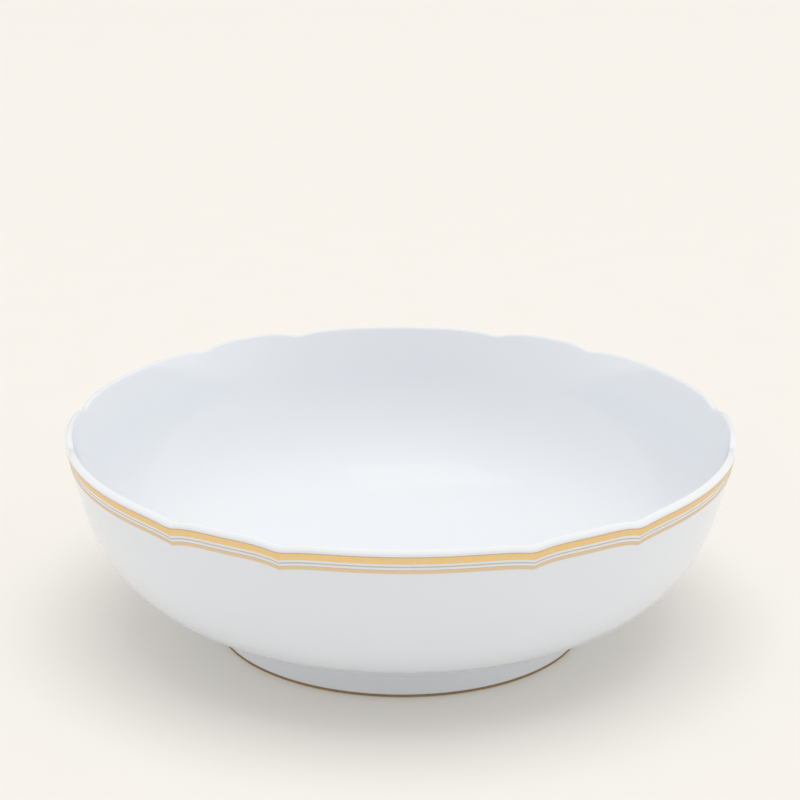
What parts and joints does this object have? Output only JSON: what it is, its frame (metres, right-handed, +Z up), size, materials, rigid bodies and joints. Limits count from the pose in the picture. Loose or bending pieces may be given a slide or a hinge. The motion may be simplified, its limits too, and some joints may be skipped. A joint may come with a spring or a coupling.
{
  "type": "serving bowl",
  "caption": "Round porcelain serving bowl on a foot ring, with a scalloped rim, gold bands and a fine line round the rim, and a gold line round the foot",
  "frame": {"origin": "centre of the foot ring's resting plane, at the bottom of the bowl", "axes": "+Z up along the bowl's axis; a wide lobe of the rim is centred on -Y, the front; +X to the right seen from the front"},
  "size_m": [0.26, 0.26, 0.0834],
  "materials": {
    "porcelain": "bare fired porcelain, matt, off-white",
    "glaze": "clear glossy glaze over white porcelain",
    "gold": "fired satin gold lustre",
    "hairline_gold": "thin pale gold lustre",
    "foot_gold": "fired gold lustre, darker"
  },
  "bodies": {
    "root": {"bowl_body": "porcelain", "foot_ring": "porcelain", "outer_glaze": "glaze", "inner_glaze": "glaze", "underside_glaze": "glaze", "rim_gold_band": "gold", "hairline_band": "hairline_gold", "lower_gold_band": "gold", "foot_gold_line": "foot_gold"}
  },
  "joints": []
}
